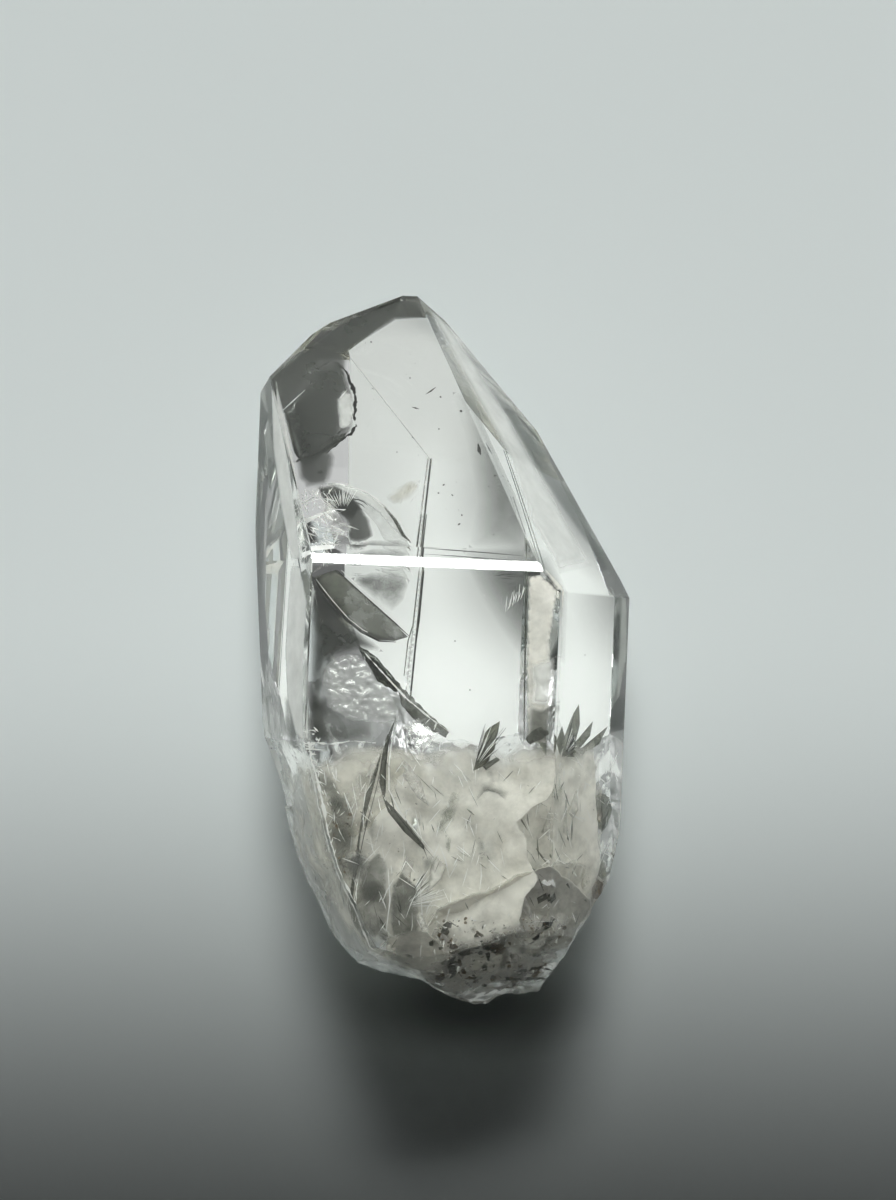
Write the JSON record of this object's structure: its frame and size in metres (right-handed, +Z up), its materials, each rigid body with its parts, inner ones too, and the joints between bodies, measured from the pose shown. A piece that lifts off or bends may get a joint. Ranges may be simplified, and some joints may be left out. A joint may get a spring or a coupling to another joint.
{
  "type": "quartz crystal point",
  "caption": "Clear quartz point with flat grown faces and a slanted tip, milky and broken rough at its lower end; lies on its rear face as a display or study specimen.",
  "frame": {"origin": "under the middle of the bounding box, on the surface that the crystal lies on", "axes": "+Y along the crystal's long axis towards its tip, +Z up through the large front prism face, +X to the right of that face"},
  "size_m": [0.0256, 0.0476, 0.0198],
  "materials": {
    "clear_quartz": "clear colourless quartz, naturally polished growth faces; milky and rough on the broken lower end"
  },
  "bodies": {
    "root": {"quartz_crystal": "clear_quartz"}
  },
  "joints": []
}
